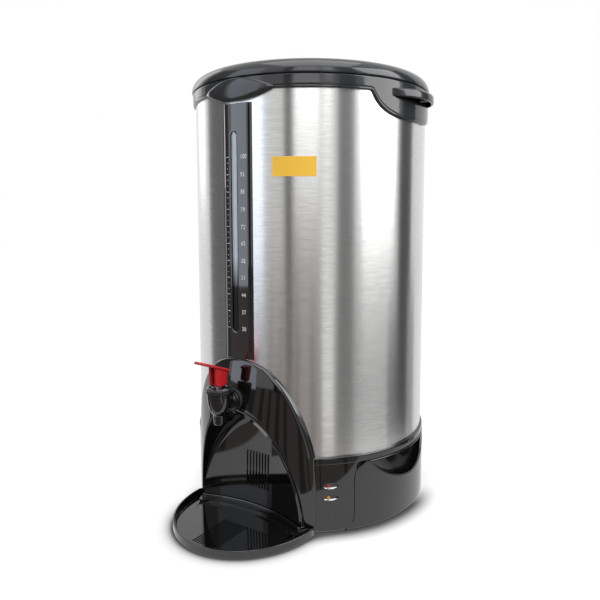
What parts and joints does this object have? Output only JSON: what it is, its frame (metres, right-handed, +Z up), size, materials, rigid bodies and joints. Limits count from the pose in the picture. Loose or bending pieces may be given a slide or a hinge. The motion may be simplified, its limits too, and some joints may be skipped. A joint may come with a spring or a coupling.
{
  "type": "coffee urn",
  "caption": "Tall double-walled steel coffee urn with a lift-off lid, side handles, a sight gauge, a red lever tap over a cup niche and a loose drip tray.",
  "frame": {"origin": "the body's axis at the height of the table, between the rubber feet", "axes": "+Z up along the body's axis, -Y towards the tap and the tray, +X to the right as seen from the front"},
  "size_m": [0.321, 0.367, 0.5388],
  "materials": {
    "black_plastic": "gloss moulded black",
    "charcoal_plastic": "gloss moulded charcoal",
    "brushed_jacket": "fine horizontal brushing",
    "tank_steel": "satin drawn sheet",
    "zinc_steel": "zinc plated",
    "gauge_black": "high gloss black",
    "clear_window": "clear",
    "clear_tube": "clear",
    "white_nylon": "satin natural white",
    "red_silicone": "soft matt",
    "black_rubber": "matt",
    "brass": "turned",
    "red_lever": "semi-gloss moulded red",
    "element_metal": "heat-dulled sheath",
    "bezel_plastic": "gloss",
    "red_lens": "tinted lens",
    "amber_lens": "tinted lens",
    "yellow_label": "satin printed film, blank"
  },
  "bodies": {
    "urn": {"base_ring": "black_plastic", "base_walls": "black_plastic", "side_covers": "black_plastic", "rear_cover": "black_plastic", "front_apron": "black_plastic", "front_legs": "black_plastic", "niche_panel": "black_plastic", "tap_body": "black_plastic", "tap_bonnet": "black_plastic", "top_collar": "charcoal_plastic", "handle_right": "charcoal_plastic", "handle_left": "charcoal_plastic", "badge_plate": "charcoal_plastic", "grip_cups": "charcoal_plastic", "outer_jacket": "brushed_jacket", "inner_tank": "tank_steel", "tank_pillar": "tank_steel", "base_plate": "zinc_steel", "base_screws": "zinc_steel", "tank_stud": "zinc_steel", "stud_nut": "zinc_steel", "handle_screws": "zinc_steel", "valve_spring": "zinc_steel", "gauge_strip": "gauge_black", "gauge_window": "clear_window", "sight_tube": "clear_tube", "sight_socket": "white_nylon", "sight_cap": "white_nylon", "terminal_block": "white_nylon", "thermostat": "white_nylon", "thermal_fuse": "white_nylon", "sight_seal": "red_silicone", "rubber_feet": "black_rubber", "tap_washer": "black_rubber", "shank_washer": "black_rubber", "cord_gland": "black_rubber", "shank_nut": "brass", "heating_element": "element_metal", "lamp_bezels": "bezel_plastic", "heat_lamp": "red_lens", "ready_lamp": "amber_lens", "care_label": "yellow_label"},
    "lid": {"lid_shell": "charcoal_plastic", "lid_liner": "tank_steel", "lid_gasket": "black_rubber", "lid_knob": "charcoal_plastic", "knob_screw": "zinc_steel"},
    "tray": {"drip_tray": "black_plastic"},
    "stem": {"valve_stem": "zinc_steel", "seat_cup": "red_silicone"},
    "lever": {"lever": "red_lever", "lever_pin": "zinc_steel"},
    "percolator": {"pump_tube": "tank_steel", "filter_basket": "tank_steel", "basket_spreader": "tank_steel"}
  },
  "joints": [
    {"name": "lid_lift", "type": "slide", "parent": "urn", "child": "lid", "axis": [0, 0, 1], "range_m": [0, 0.15]},
    {"name": "tray_slide", "type": "slide", "parent": "urn", "child": "tray", "axis": [0, -1, 0], "range_m": [0, 0.1]},
    {"name": "stem_lift", "type": "slide", "parent": "urn", "child": "stem", "axis": [0, 0, 1], "range_m": [0, 0.0027], "deforming": ["valve_spring"]},
    {"name": "lever_tilt", "type": "hinge", "parent": "stem", "child": "lever", "pos_m": [0, -0.1775, 0.178], "axis": [1, 0, 0], "range_deg": [0, 25], "stiffness_Nm_per_rad": 0.05, "springref_deg": -20.05},
    {"name": "percolator_lift", "type": "slide", "parent": "urn", "child": "percolator", "axis": [0, 0, 1], "range_m": [0, 0.018]}
  ],
  "couplings": [
    {"joint": "stem_lift", "follows": "lever_tilt", "m_per_rad": 0.006}
  ]
}
